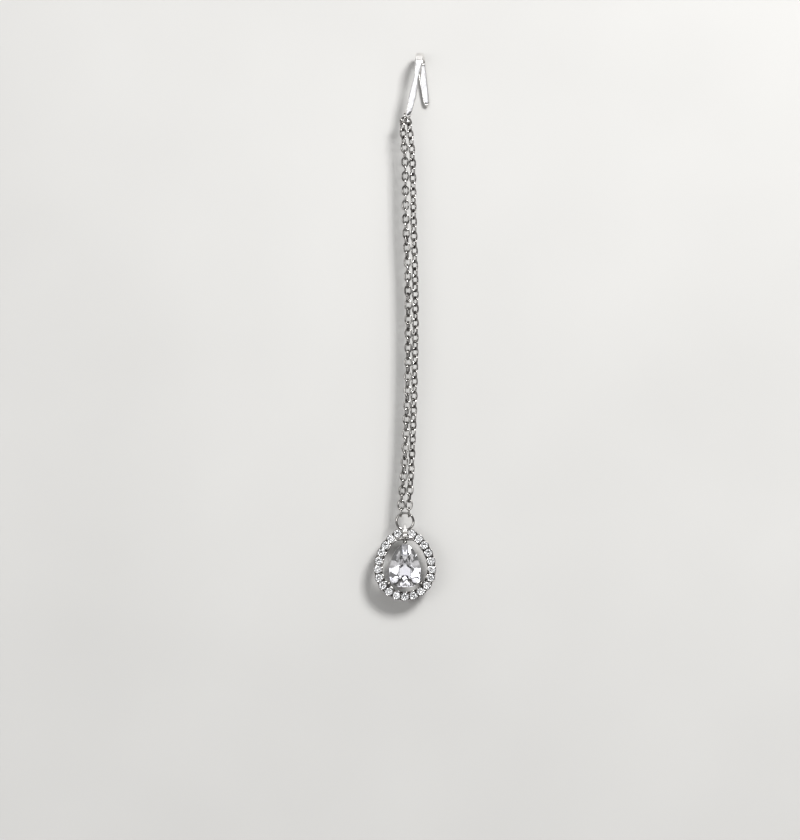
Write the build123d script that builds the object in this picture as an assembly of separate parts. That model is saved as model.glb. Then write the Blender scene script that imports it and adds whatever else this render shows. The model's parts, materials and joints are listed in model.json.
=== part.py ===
from build123d import *
import os
from math import asin, cos, pi, radians, sin, sqrt, tan

# A maang tikka, a forehead jewel: a hair hook of flattened wire, two strands of fine cable chain
# side by side, a jump ring, and a pear-shaped halo pendant.
# Millimetres. +Z is up, the jewel faces -Y, and the origin is the inside of the hook's bend,
# where it hangs.

# ---- driving sizes ------------------------------------------------------------------------------

# hair hook
HOOK_GAP = 4.4  # clear space between its two legs
STRIP_THICK = 0.8  # the wire is hammered flat to this
STRIP_CORNER = 0.22  # radius of the strip's long edges
BACK_LEG_DEPTH = 12.0  # from the top of the bend to the free end
BACK_LEG_LEAN = 0.14  # sideways per mm of depth, towards +X
FRONT_LEG_DEPTH = 14.4  # from the top of the bend to the middle of the eye
FRONT_LEG_LEAN = 0.14  # sideways per mm of depth at the bend, towards -X
FRONT_LEG_CURVE = 0.0035  # and this much more per square mm
EYE_RADIUS = 0.9  # to the middle of its wire
EYE_WIRE = 0.6
EYE_TURN = 30  # degrees about the vertical, from straight back towards -X

# cable chain
LINK_LENGTH = 2.58
LINK_WIDTH = 1.8
LINK_WIRE = 0.44
LINK_PITCH = 1.662  # of the left strand, which has one link more than the right
LEFT_LINKS = 56
STRAND_DIAMETER = 1.7
STRAND_SPACING = 1.81
STRAND_BOW = 1.3  # the strands stand this far towards +X at mid length
STRAND_TOP_CUT = 2.85  # its tube starts this far below the middle of the eye
STRAND_LOW_CUT = 1.4  # and ends this far above the middle of the last link
LEFT_LEAN = 62  # degrees that the first links lean outwards from the eye
RIGHT_LEAN = 38
LINK_HANG = 0.04  # the middle of their upper arc below the middle of the eye's wire

# jump ring
RING_RADIUS = 1.975  # to the middle of its wire
RING_WIRE = 0.55
RING_SIDESTEP = -0.3  # of its middle from the hook's eye, along X
LINK_PLAY = 0.05  # clearance of the last links around the ring's wire

# halo of small stones around a pear-shaped window, measured from its widest line
HALO_RADIUS = 6.3  # of the stones' line below the widest line
HALO_SIDE_RADIUS = 9.935  # of the stones' line above it
HALO_STONES = 21
HALO_STONE = 1.72  # diameter
HALO_SPACING = 1.99
HALO_OUTER = 0.97  # metal outside the stones' line
HALO_INNER = 1.2  # metal inside it
HALO_THICK = 1.6
HALO_CROWN = 0.3  # the small stones stand this far proud
HALO_SETBACK = 0.32  # its middle plane behind the lug's, so that it hangs level
HALO_BACK_CHAMFER = 0.25
HALO_FRONT_CHAMFER = 0.12
WEB_TOP = 8.0  # the metal between the two top stones ends here
WINDOW_TOP = 6.75  # and the window starts here

# the lug that the ring passes through, on top of the halo
LUG_HOLE = 1.1
LUG_HOLE_HEIGHT = 9.05  # of its middle above the widest line
LUG_TIP = 10.7
LUG_BASE_WIDTH = 1.15
LUG_TIP_WIDTH = 0.3
LUG_DEPTH = 1.96
LUG_PLAY = 0.36  # from the hole's top down to the middle of the ring's wire

# centre stone, a pear cut
STONE_HALF_WIDTH = 3.75
STONE_TIP = 6.6  # above its widest line
STONE_HEEL = 3.3  # below it
STONE_DROP = 0.7  # its widest line below the halo's
STONE_GIRDLE = 0.18
STONE_CROWN = 1.05
STONE_PAVILION = 2.75
STONE_TABLE = 0.56  # table size over girdle size
STONE_SIDES = 28
STONE_FORWARD = 1.05  # the girdle's back stands this far in front of the halo's middle plane
STONE_PLAY = 1.012  # the seat is cut this much larger than the stone

# ball-tipped prongs
PRONG_RADIUS = 0.34
PRONG_BALL = 0.5
PRONG_LOW = (3.78, -3.18)  # the lower pair, mirrored, from the middle of the widest line
PRONG_TOP_HEIGHT = 6.4
PRONG_BAR = 0.36
PRONG_BALL_FORWARD = 0.4  # ball's middle in front of the girdle's back

# ---- places worked out from them ----------------------------------------------------------------

BEND_RADIUS = (HOOK_GAP + STRIP_THICK) / 2
TOP = STRIP_THICK / 2
FRONT_LEG_SHIFT = -(FRONT_LEG_LEAN * FRONT_LEG_DEPTH + FRONT_LEG_CURVE * FRONT_LEG_DEPTH**2)
EYE_BACK = Vector(-sin(radians(EYE_TURN)), cos(radians(EYE_TURN)))
EYE = Vector(FRONT_LEG_SHIFT, -BEND_RADIUS, TOP - FRONT_LEG_DEPTH) + EYE_BACK * EYE_RADIUS
CHAIN_Y = EYE.Y
LINK_ARC = (LINK_WIDTH - LINK_WIRE) / 2
LINK_STRAIGHT = LINK_LENGTH - LINK_WIDTH
LINK_REACH = LINK_STRAIGHT / 2 + LINK_ARC

RING_X = EYE.X + RING_SIDESTEP
FIRST_LINK_RUN = LINK_HANG + LINK_STRAIGHT + LINK_ARC - LINK_WIRE - 0.01
SECOND_LINK_Z = EYE.Z - EYE_RADIUS - FIRST_LINK_RUN * cos(radians(LEFT_LEAN)) - LINK_REACH
LAST_LINK_Z = SECOND_LINK_Z - LINK_PITCH * (LEFT_LINKS - 2)
GRIP_RADIUS = RING_RADIUS - (RING_WIRE + LINK_WIRE) / 2 - LINK_PLAY
RING_Z = LAST_LINK_Z - LINK_REACH - sqrt(GRIP_RADIUS**2 - (STRAND_SPACING / 2) ** 2)
GRIP_Z = RING_Z + sqrt(RING_RADIUS**2 - (STRAND_SPACING / 2) ** 2)
WIDEST_Z = RING_Z - RING_RADIUS - (LUG_HOLE_HEIGHT + LUG_HOLE / 2 - LUG_PLAY)
SIDE_CENTRE = HALO_SIDE_RADIUS - HALO_RADIUS
FRONT_PLANE = Plane.XZ


def strip_section(point, along, wide, thick):
    """One cross-section of the hook's strip, square to its run, its width kept along X."""
    side = Vector(1, 0, 0) - along * along.X
    plane = Plane(origin=point, x_dir=side, z_dir=along)
    return plane * RectangleRounded(wide, thick, STRIP_CORNER)


def leg_shift(depth, front):
    """How far the strip's middle stands sideways at a depth below the top, and its slope there."""
    if front:
        shift = -(FRONT_LEG_LEAN * depth + FRONT_LEG_CURVE * depth**2)
        return shift, -(FRONT_LEG_LEAN + 2 * FRONT_LEG_CURVE * depth)
    return BACK_LEG_LEAN * depth, BACK_LEG_LEAN


def leg_section(depth, wide, thick, front):
    shift, slope = leg_shift(depth, front)
    way = -1 if front else 1
    point = Vector(shift, way * BEND_RADIUS, TOP - depth)
    return strip_section(point, Vector(-way * slope, 0, way).normalized(), wide, thick)


def bend_section(turn, wide):
    """A section on the bend, at a turn in degrees from its top, towards the back leg."""
    angle = radians(turn)
    depth = BEND_RADIUS * (1 - cos(angle))
    shift, slope = leg_shift(depth, turn < 0)
    point = Vector(shift, BEND_RADIUS * sin(angle), TOP - depth)
    along = Vector(-slope * sin(angle), -cos(angle), sin(angle)).normalized()
    return strip_section(point, along, wide, STRIP_THICK)


def hair_hook():
    """A flattened wire bent into two legs, the front one with a waist and an eye curled back."""
    back_leg = [  # depth, width, thickness
        (BACK_LEG_DEPTH, 0.8, 0.5),
        (11.5, 1.1, 0.6),
        (10.0, 1.4, 0.7),
        (8.0, 1.6, 0.76),
        (6.0, 1.75, STRIP_THICK),
        (4.2, 1.85, STRIP_THICK),
    ]
    bend = [  # turn, width
        (90, 1.95),
        (60, 2.0),
        (30, 2.05),
        (0, 2.05),
        (-30, 2.05),
        (-60, 1.98),
        (-90, 1.75),
    ]
    front_leg = [
        (3.5, 1.5, STRIP_THICK),
        (4.4, 1.18, STRIP_THICK),
        (5.3, 1.0, STRIP_THICK),
        (6.7, 1.26, STRIP_THICK),
        (8.6, 1.55, STRIP_THICK),
        (10.4, 1.6, 0.78),
        (12.0, 1.45, 0.74),
        (13.4, 1.15, 0.68),
        (FRONT_LEG_DEPTH, 0.7, EYE_WIRE),
    ]
    sections = [leg_section(depth, wide, thick, False) for depth, wide, thick in back_leg]
    sections += [bend_section(turn, wide) for turn, wide in bend]
    sections += [leg_section(depth, wide, thick, True) for depth, wide, thick in front_leg]
    eye = Torus(EYE_RADIUS, EYE_WIRE / 2)
    return loft(sections) + Pos(EYE) * Rot(Z=EYE_TURN) * Rot(Y=90) * eye


def chain_link():
    """One oblong link, standing in the XZ plane about its own middle."""
    with BuildLine(Plane.XZ) as route:
        half = LINK_STRAIGHT / 2
        Line((LINK_ARC, -half), (LINK_ARC, half))
        RadiusArc((LINK_ARC, half), (-LINK_ARC, half), -LINK_ARC)
        Line((-LINK_ARC, half), (-LINK_ARC, -half))
        RadiusArc((-LINK_ARC, -half), (LINK_ARC, -half), -LINK_ARC)
    path = route.wire()
    section = Plane(origin=path @ 0, z_dir=path % 0) * Circle(LINK_WIRE / 2)
    return sweep(section, path=path)


def chain_strand(side, lean):
    """A strand: a round-ended tube along its route, a link through the eye and one round the ring."""
    top = Vector(EYE.X + side * STRAND_SPACING / 2, CHAIN_Y, EYE.Z - STRAND_TOP_CUT)
    low = Vector(RING_X + side * STRAND_SPACING / 2, CHAIN_Y, LAST_LINK_Z + STRAND_LOW_CUT)
    points = []
    for share in (0, 0.25, 0.5, 0.75, 1):
        bow = 4 * STRAND_BOW * share * (1 - share)
        points.append(top + (low - top) * share + Vector(bow, 0, 0))
    radii = []
    for before, corner, after in zip(points, points[1:], points[2:]):
        turn = radians((corner - before).get_angle(after - corner))
        radii.append(0.45 * min((corner - before).length, (after - corner).length) / tan(turn / 2))
    route = FilletPolyline(*points, radius=radii)
    section = Plane(origin=route @ 0, z_dir=route % 0) * Circle(STRAND_DIAMETER / 2)
    tube = sweep(section, path=route)
    tube_error = tube.volume / (pi * (STRAND_DIAMETER / 2) ** 2 * route.length) - 1
    radii_text = ", ".join(f"{radius:.0f}" for radius in radii)
    print(f"strand: route {route.length:.2f} mm, arc radii {radii_text} mm")
    print(f"strand: volume off by {tube_error:.4%}")

    beside = EYE_BACK * (-side * (LINK_WIRE / 2 + 0.03))
    grip = Pos(EYE + beside - Vector(0, 0, EYE_RADIUS)) * Rot(Z=EYE_TURN) * Rot(Y=-side * lean)
    first = grip * Pos(0, 0, -LINK_HANG - LINK_STRAIGHT / 2) * chain_link()
    last = Pos(low.X, CHAIN_Y, LAST_LINK_Z) * Rot(Z=90) * chain_link()
    return tube + [Pos(end) * Sphere(STRAND_DIAMETER / 2) for end in (top, low)] + first + last


def jump_ring():
    return Pos(RING_X, CHAIN_Y, RING_Z) * Rot(X=90) * Torus(RING_RADIUS, RING_WIRE / 2)


def halo_place(distance):
    """The point on the stones' line at a distance from its lowest point, to either side.

    The line is a half circle, then two side arcs.
    """
    quarter = HALO_RADIUS * pi / 2
    side = 1 if distance > 0 else -1
    run = abs(distance)
    if run <= quarter:
        angle = run / HALO_RADIUS
        return side * HALO_RADIUS * sin(angle), -HALO_RADIUS * cos(angle)
    angle = (run - quarter) / HALO_SIDE_RADIUS
    return side * (HALO_SIDE_RADIUS * cos(angle) - SIDE_CENTRE), HALO_SIDE_RADIUS * sin(angle)


def halo_outline():
    """The outside of the halo: round below, then side arcs, and round each top stone to a dip."""
    top_x, top_z = halo_place(HALO_SPACING * (HALO_STONES - 1) / 2)
    angle = asin(top_z / HALO_SIDE_RADIUS)
    low = HALO_RADIUS + HALO_OUTER
    shoulder = (top_x + HALO_OUTER * cos(angle), top_z + HALO_OUTER * sin(angle))
    crest = (top_x, top_z + HALO_OUTER)
    dip = (top_x - sqrt(HALO_OUTER**2 - (top_z - WEB_TOP) ** 2), WEB_TOP)
    with BuildSketch(FRONT_PLANE) as sketch:
        with BuildLine():
            ThreePointArc((-low, 0), (0, -low), (low, 0))
            for side in (1, -1):
                hip, neck, peak, notch = [
                    (side * x, z) for x, z in ((low, 0), shoulder, crest, dip)
                ]
                RadiusArc(hip, neck, -side * (HALO_SIDE_RADIUS + HALO_OUTER))
                RadiusArc(neck, peak, -side * HALO_OUTER)
                RadiusArc(peak, notch, -side * HALO_OUTER)
            Line(dip, (-dip[0], dip[1]))
        make_face()
    return sketch.sketch


def halo_window():
    """The opening inside the halo: the same pear drawn in, cut off flat below the top web."""
    low = HALO_RADIUS - HALO_INNER
    rise = HALO_SIDE_RADIUS - HALO_INNER
    top_x = sqrt(rise**2 - WINDOW_TOP**2) - SIDE_CENTRE
    with BuildSketch(FRONT_PLANE) as sketch:
        with BuildLine():
            ThreePointArc((-low, 0), (0, -low), (low, 0))
            RadiusArc((low, 0), (top_x, WINDOW_TOP), -rise)
            Line((top_x, WINDOW_TOP), (-top_x, WINDOW_TOP))
            RadiusArc((-top_x, WINDOW_TOP), (-low, 0), -rise)
        make_face()
        fillet(sketch.vertices().filter_by(lambda v: abs(v.Z - WINDOW_TOP) < 0.01), 0.6)
    return sketch.sketch


def halo_frame():
    """The halo's plate, centred on the XZ plane, its small stones as low cones on the front."""
    plate = extrude(halo_outline() - halo_window(), amount=HALO_THICK / 2, both=True)
    for face, size in ((1, HALO_BACK_CHAMFER), (-1, HALO_FRONT_CHAMFER)):
        face_y = face * HALO_THICK / 2
        rim = plate.edges().filter_by(lambda edge: abs(edge.center().Y - face_y) < 0.001)
        plate = chamfer(rim, size)
    upwards = (Align.CENTER, Align.CENTER, Align.MIN)
    crown = Cone(HALO_STONE / 2, HALO_STONE / 4, HALO_CROWN + 0.1, align=upwards)
    for step in range(HALO_STONES):
        x, z = halo_place(HALO_SPACING * (step - (HALO_STONES - 1) / 2))
        plate += Pos(x, 0.1 - HALO_THICK / 2, z) * Rot(X=90) * crown
    return plate


def lug():
    """A small tapering loop on top of the halo, its hole across, from side to side."""
    with BuildSketch(Plane.YZ) as profile:
        with Locations((0, LUG_HOLE_HEIGHT)):
            Circle(LUG_DEPTH / 2)
        with BuildLine():
            reach = LUG_DEPTH / 2 * cos(radians(35))
            rise = LUG_HOLE_HEIGHT + LUG_DEPTH / 2 * sin(radians(35))
            Polyline((-reach, rise), (-0.2, LUG_TIP), (0.2, LUG_TIP), (reach, rise), close=True)
        make_face()
        with Locations((0, WEB_TOP)):
            Rectangle(LUG_DEPTH * 0.72, 1.2)
    with BuildSketch(FRONT_PLANE) as front:
        with BuildLine():
            tip, base, foot = LUG_TIP_WIDTH / 2, LUG_BASE_WIDTH / 2, WEB_TOP - 0.6
            shoulder = WEB_TOP + 0.2
            right = [(base, foot), (base, shoulder), (tip, LUG_TIP)]
            left = [(-x, z) for x, z in reversed(right)]
            Polyline(*right, *left, close=True)
        make_face()
    body = extrude(profile.sketch, amount=LUG_BASE_WIDTH, both=True)
    body &= extrude(front.sketch, amount=LUG_DEPTH, both=True)
    hole = Pos(0, 0, LUG_HOLE_HEIGHT) * Rot(Y=90) * Cylinder(LUG_HOLE / 2, 2 * LUG_BASE_WIDTH)
    return body - hole


def prongs():
    """Three posts with ball tips: one under the top web on a bar, two on the window's wall."""
    back = HALO_THICK / 2 - 0.25
    girdle = -STONE_FORWARD
    ball_y = girdle - PRONG_BALL_FORWARD
    post = Cylinder(PRONG_RADIUS, back - ball_y)
    ball = Sphere(PRONG_BALL)
    metal = []
    for x, z in ((0, PRONG_TOP_HEIGHT), PRONG_LOW, (-PRONG_LOW[0], PRONG_LOW[1])):
        metal.append(Pos(x, (back + ball_y) / 2, z) * Rot(X=90) * post)
        metal.append(Pos(x, ball_y, z) * ball)
    bar_foot = PRONG_TOP_HEIGHT + 0.1
    upwards = (Align.CENTER, Align.CENTER, Align.MIN)
    bar = Box(PRONG_BAR, HALO_THICK - 0.2, WEB_TOP - bar_foot, align=upwards)
    metal.append(Pos(0, -0.25, bar_foot) * bar)
    return metal


def stone_corner(turn, size):
    """A corner of the pear outline, pointed at the tip, squarer at the heel. Turn 0 is the tip."""
    across, up = sin(turn), cos(turn)
    if up > 0:
        return size * STONE_HALF_WIDTH * across, size * STONE_TIP * up ** (4 / 3)
    squareness = 1 / 1.3
    side = 1 if across > 0 else -1
    x = side * STONE_HALF_WIDTH * abs(across) ** squareness
    return size * x, -size * STONE_HEEL * abs(up) ** squareness


def stone_outline(size, y):
    corners = []
    for step in range(STONE_SIDES):
        x, z = stone_corner(2 * pi * (step + 0.5) / STONE_SIDES, size)
        corners.append((x, y, z))
    return make_face(Polyline(*corners, close=True))


def centre_stone(size=1):
    """The pear cut about the middle of its widest line, its table forward.

    The back of its girdle is on the XZ plane.
    """
    girdle_back = stone_outline(size, 0)
    girdle_front = stone_outline(size, -STONE_GIRDLE * size)
    table = stone_outline(STONE_TABLE * size, -(STONE_GIRDLE + STONE_CROWN) * size)
    culet = stone_outline(0.03 * size, STONE_PAVILION * size)
    belt = loft([girdle_back, girdle_front], ruled=True)
    crown = loft([girdle_front, table], ruled=True)
    pavilion = loft([girdle_back, culet], ruled=True)
    return belt + crown + pavilion


def halo_setting(stone):
    """All the soldered metal of the pendant, with the seat of the centre stone cut out."""
    lug_place = Pos(0, -HALO_SETBACK, 0)
    return halo_frame() + lug_place * lug() + prongs() - stone


os.makedirs("parts", exist_ok=True)

in_halo = Pos(0, -STONE_FORWARD, -STONE_DROP)
hang = Pos(RING_X, CHAIN_Y + HALO_SETBACK, WIDEST_Z)
nodes = {
    "hair_hook": hair_hook(),
    "chain_left": chain_strand(-1, LEFT_LEAN),
    "chain_right": chain_strand(1, RIGHT_LEAN),
    "jump_ring": jump_ring(),
    "halo_setting": hang * halo_setting(in_halo * centre_stone(STONE_PLAY)),
    "centre_stone": hang * in_halo * centre_stone(),
}
for name, shape in nodes.items():
    shape.label = name
    export_step(shape, f"parts/{name}.step")
    print(name, round(shape.volume, 3), "mm3", len(shape.solids()), "solid", shape.is_valid)
print(f"the ring swings fore and aft about y {CHAIN_Y:.3f}, z {GRIP_Z:.3f}, along X")
print(f"the pendant slides around the ring about x {RING_X:.3f}, z {RING_Z:.3f}, along Y")
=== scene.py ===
import json
from math import pi, radians

import bpy
import numpy as np
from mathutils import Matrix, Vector


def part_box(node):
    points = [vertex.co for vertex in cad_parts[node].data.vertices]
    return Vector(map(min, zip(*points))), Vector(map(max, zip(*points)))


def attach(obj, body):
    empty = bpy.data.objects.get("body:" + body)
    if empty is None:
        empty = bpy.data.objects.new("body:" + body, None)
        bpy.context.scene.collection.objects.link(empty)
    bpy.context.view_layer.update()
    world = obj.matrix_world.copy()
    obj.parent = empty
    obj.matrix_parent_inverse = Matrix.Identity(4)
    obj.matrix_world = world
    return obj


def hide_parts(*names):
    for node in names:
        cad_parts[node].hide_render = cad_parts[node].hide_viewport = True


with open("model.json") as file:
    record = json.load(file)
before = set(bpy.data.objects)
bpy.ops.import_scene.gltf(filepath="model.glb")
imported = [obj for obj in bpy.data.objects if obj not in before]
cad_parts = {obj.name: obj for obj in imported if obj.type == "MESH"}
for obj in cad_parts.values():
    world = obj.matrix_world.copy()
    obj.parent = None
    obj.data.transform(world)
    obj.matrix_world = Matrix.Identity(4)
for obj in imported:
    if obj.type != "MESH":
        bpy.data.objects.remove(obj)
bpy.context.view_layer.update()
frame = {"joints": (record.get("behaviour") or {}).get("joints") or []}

MM = 0.001

# ---- shapes as arrays ----------------------------------------------------------------------------
# A shape is a pair: points in millimetres, and faces of four corners, the last -1 on a triangle.


def grid(points, close_rows=False, close_columns=True):
    """A surface over two parameters: points[row, column], with a quad between neighbours.

    Row and column numbers are the parameters; a closed direction joins its last to its first.
    """
    rows, columns = points.shape[:2]
    row = np.arange(rows if close_rows else rows - 1)[:, None]
    column = np.arange(columns if close_columns else columns - 1)[None, :]
    next_row, next_column = (row + 1) % rows, (column + 1) % columns
    corners = [
        row * columns + column,
        row * columns + next_column,
        next_row * columns + next_column,
        next_row * columns + column,
    ]
    return points.reshape(-1, 3), np.stack(corners, -1).reshape(-1, 4)


def capped(points):
    """A grid of closed rows whose first and last rows are shut by fans to their middles."""
    rows, columns = points.shape[:2]
    flat, faces = grid(points)
    first = np.arange(columns)
    last = first + (rows - 1) * columns
    none = np.full(columns, -1)
    first_fan = np.stack([np.roll(first, -1), first, np.full(columns, len(flat)), none], -1)
    last_fan = np.stack([last, np.roll(last, -1), np.full(columns, len(flat) + 1), none], -1)
    return np.vstack([flat, points[0].mean(0), points[-1].mean(0)]), np.vstack([faces, first_fan, last_fan])


def outward(shape):
    """A closed shape with its faces turned outwards.

    Its volume is the sum of a . (b x c) over its triangles, each corner taken from the shape's middle,
    and every face is turned over where that is negative.
    """
    points, faces = shape
    is_quad = faces[:, 3] >= 0
    triangles = np.vstack([faces[:, :3], faces[is_quad][:, [0, 2, 3]]])
    a, b, c = np.moveaxis(points[triangles] - points.mean(0), 1, 0)
    if np.sum(a * np.cross(b, c)) < 0:
        faces = np.where(is_quad[:, None], faces[:, [3, 2, 1, 0]], faces[:, [2, 1, 0, 3]])
    return points, faces


def joined(*shapes):
    """Several shapes as one, the corner numbers of each moved on past the points before it."""
    starts = np.cumsum([0] + [len(points) for points, faces in shapes])
    faces = [np.where(faces < 0, -1, faces + start) for (points, faces), start in zip(shapes, starts)]
    return np.vstack([points for points, faces in shapes]), np.vstack(faces)


def placed(shape, origin):
    """The shape moved so that its own zero stands at the origin given."""
    points, faces = shape
    return points + origin, faces


def repeated(shape, origins, axes):
    """Copies of a shape: each point x, y, z goes to origin + x A + y B + z C of its copy's axes A, B, C."""
    points, faces = shape
    moved = origins[:, None, :] + np.einsum("pi,nij->npj", points, axes)
    steps = np.arange(len(origins))[:, None, None] * len(points)
    copied = np.where(faces[None] < 0, -1, faces[None] + steps)
    return moved.reshape(-1, 3), copied.reshape(-1, 4)


def unit(vectors):
    """Each vector divided by its length."""
    return vectors / np.linalg.norm(vectors, axis=-1, keepdims=True)


def square_to(vectors, along):
    """Each vector less its share along a unit vector, made a unit long again."""
    return unit(vectors - along * np.sum(vectors * along, -1, keepdims=True))


def ramp(value, start, end):
    """0 at the start, 1 at the end, a straight line between them and level beyond."""
    return np.clip((value - start) / (end - start), 0, 1)


def swept(path, side, section, closed=False):
    """A profile carried along a path.

    path[i] + u side[i] + v face[i], where face is square to the side and the run, and (u, v) is
    section[i, j], or section[j] where it stays the same.
    """
    if closed:
        along = unit(np.roll(path, -1, 0) - np.roll(path, 1, 0))
    else:
        along = unit(np.gradient(path, axis=0))
    side = square_to(side, along)
    face = np.cross(along, side)
    section = np.broadcast_to(section, (len(path),) + section.shape[-2:])
    return path[:, None] + section[..., :1] * side[:, None] + section[..., 1:] * face[:, None]


def circle(count, radius=1.0):
    """Points radius cos(t), radius sin(t) at even turns t, the first on the first axis."""
    turn = np.arange(count) * 2 * pi / count
    return radius * np.stack([np.cos(turn), np.sin(turn)], -1)


def rounded_section(wide, thick, corner, count=6):
    """Rounded rectangles, one a row: quarter circles of the corner's radius about four centres."""
    turn = np.linspace(0, pi / 2, count)
    arcs = []
    for quarter, (right, up) in enumerate(((1, 1), (-1, 1), (-1, -1), (1, -1))):
        angle = turn + quarter * pi / 2
        u = right * (wide / 2 - corner)[:, None] + corner[:, None] * np.cos(angle)
        v = up * (thick / 2 - corner)[:, None] + corner[:, None] * np.sin(angle)
        arcs.append(np.stack([u, v], -1))
    return np.concatenate(arcs, 1)


def stacked(table, corner, y):
    """Rounded rectangles stacked up Z about a line at y, from rows of height, width and depth."""
    section = rounded_section(table[:, 1], table[:, 2], np.full(len(table), corner))
    height = np.broadcast_to(table[:, :1], section.shape[:2])
    return outward(capped(np.stack([section[..., 0], section[..., 1] + y, height], -1)))


def turned(profile, count):
    """A surface of revolution about Y from rows of (radius, y), shut at both ends."""
    ring = circle(count)
    profile = np.asarray(profile, float)
    x = profile[:, :1] * ring[:, 0]
    z = profile[:, :1] * ring[:, 1]
    y = np.broadcast_to(profile[:, 1:], x.shape)
    return outward(capped(np.stack([x, y, z], -1)))


def through(table, column, at):
    """A smooth curve through one column of a table against its first.

    Between two rows it is the cubic that has both rows' values and slopes, and a row's slope is that of
    the parabola through it and its neighbours. Beyond the table it stays level.
    """
    x, y = table[:, 0], table[:, column]
    slope = np.gradient(y, x)
    i = np.clip(np.searchsorted(x, at) - 1, 0, len(x) - 2)
    t = ramp(at, x[i], x[i + 1])
    rise = y[i] * (1 + 2 * t) * (1 - t) ** 2 + y[i + 1] * t**2 * (3 - 2 * t)
    return rise + (x[i + 1] - x[i]) * (slope[i] * t * (1 - t) ** 2 - slope[i + 1] * t**2 * (1 - t))


def mesh_object(name, shape, material, smooth=True):
    """An object at the origin that shows a shape, its place in its mesh."""
    points, faces = shape
    mesh = bpy.data.meshes.new(name)
    mesh.vertices.add(len(points))
    mesh.vertices.foreach_set("co", (points * MM).ravel())
    corners = faces[faces >= 0]
    sizes = (faces >= 0).sum(1)
    mesh.loops.add(len(corners))
    mesh.loops.foreach_set("vertex_index", corners.astype(np.int32))
    mesh.polygons.add(len(faces))
    mesh.polygons.foreach_set("loop_start", (np.cumsum(sizes) - sizes).astype(np.int32))
    mesh.polygons.foreach_set("use_smooth", np.full(len(faces), smooth))
    mesh.materials.append(material)
    mesh.update(calc_edges=True)
    mesh.validate()
    made = bpy.data.objects.new(name, mesh)
    bpy.context.scene.collection.objects.link(made)
    return made


def make(name, shape, material, body, replaces=(), smooth=True):
    """A finished piece: it rides on a body, takes a finish and stands for the nodes it replaces."""
    piece = mesh_object(name, shape, material, smooth)
    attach(piece, body)
    if replaces:
        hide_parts(*replaces)


# ---- materials -----------------------------------------------------------------------------------

ZIRCONIA_IOR = 2.16
# Sizes of the patterns, in millimetres.
HAZE_PATCH = 1.4
TINT_DRIFT = 2.5
PAPER_MOTTLE = 60


def linear(hex_colour):
    """An sRGB hex value as linear red, green and blue with full alpha."""
    part = [int(hex_colour[i:i + 2], 16) / 255 for i in (1, 3, 5)]
    return [c / 12.92 if c <= 0.04045 else ((c + 0.055) / 1.055) ** 2.4 for c in part] + [1.0]


def node(tree, kind, settings=None, ramp=(), **links):
    """Adds a node, sets its properties and inputs, and links its inputs from (node, output) pairs.

    A link goes by its input's name, with _ for a space, or by i and its input's number. A colour ramp
    takes a position and a hex colour for each of its ends.
    """
    made = tree.nodes.new(kind)
    for key, value in (settings or {}).items():
        if key in made.inputs:
            made.inputs[key].default_value = value
        else:
            setattr(made, key, value)
    for end, (position, hex_colour) in enumerate(ramp):
        made.color_ramp.elements[end].position = position
        made.color_ramp.elements[end].color = linear(hex_colour)
    for key, (source, output) in links.items():
        is_number = key[0] == "i" and key[1:].isdigit()
        target = made.inputs[int(key[1:]) if is_number else key.replace("_", " ")]
        tree.links.new(source.outputs[output], target)
    return made


def new_material(name):
    """An empty node material, its tree and its Object coordinates."""
    material = bpy.data.materials.new(name)
    material.use_nodes = True
    tree = material.node_tree
    tree.nodes.clear()
    return material, tree, node(tree, "ShaderNodeTexCoord")


def silver(name, tone, shade, roughness, wave, wave_depth, grain, grain_depth):
    """Rhodium-plated silver: polished metal, with soft handling marks.

    Long low waves bend its reflections, a fine polishing grain breaks them up, and thin haze
    in patches gives the eye brighter and duller stretches. The grain is some ten times coarser
    than a polish leaves, because the real one is too fine to show. tone and shade are the clear
    and hazed colours, and the lengths and depths of waves and grain are in millimetres.
    """
    material, tree, place = new_material(name)
    haze = node(tree, "ShaderNodeTexNoise", {"Scale": 1 / (HAZE_PATCH * MM), "Detail": 4.0, "Roughness": 0.6},
                Vector=(place, "Object"))
    colour = node(tree, "ShaderNodeValToRGB", ramp=[(0.35, shade), (0.65, tone)], i0=(haze, 0))
    gloss = node(tree, "ShaderNodeMapRange", {"From Min": 0.3, "From Max": 0.7, "To Min": roughness * 1.5,
                                              "To Max": roughness * 0.7}, Value=(haze, 0))
    waves = node(tree, "ShaderNodeTexNoise", {"Scale": 1 / (wave * MM), "Detail": 1.0},
                 Vector=(place, "Object"))
    grains = node(tree, "ShaderNodeTexNoise", {"Scale": 1 / (grain * MM), "Detail": 3.0, "Roughness": 0.7},
                  Vector=(place, "Object"))
    waved = node(tree, "ShaderNodeBump", {"Strength": 1.0, "Distance": wave_depth * MM}, Height=(waves, 0))
    grained = node(tree, "ShaderNodeBump", {"Strength": 1.0, "Distance": grain_depth * MM},
                   Height=(grains, 0), Normal=(waved, 0))
    metal = node(tree, "ShaderNodeBsdfPrincipled", {"Metallic": 1.0}, Base_Color=(colour, 0),
                 Roughness=(gloss, 0), Normal=(grained, 0))
    node(tree, "ShaderNodeOutputMaterial", Surface=(metal, 0))
    return material


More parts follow.
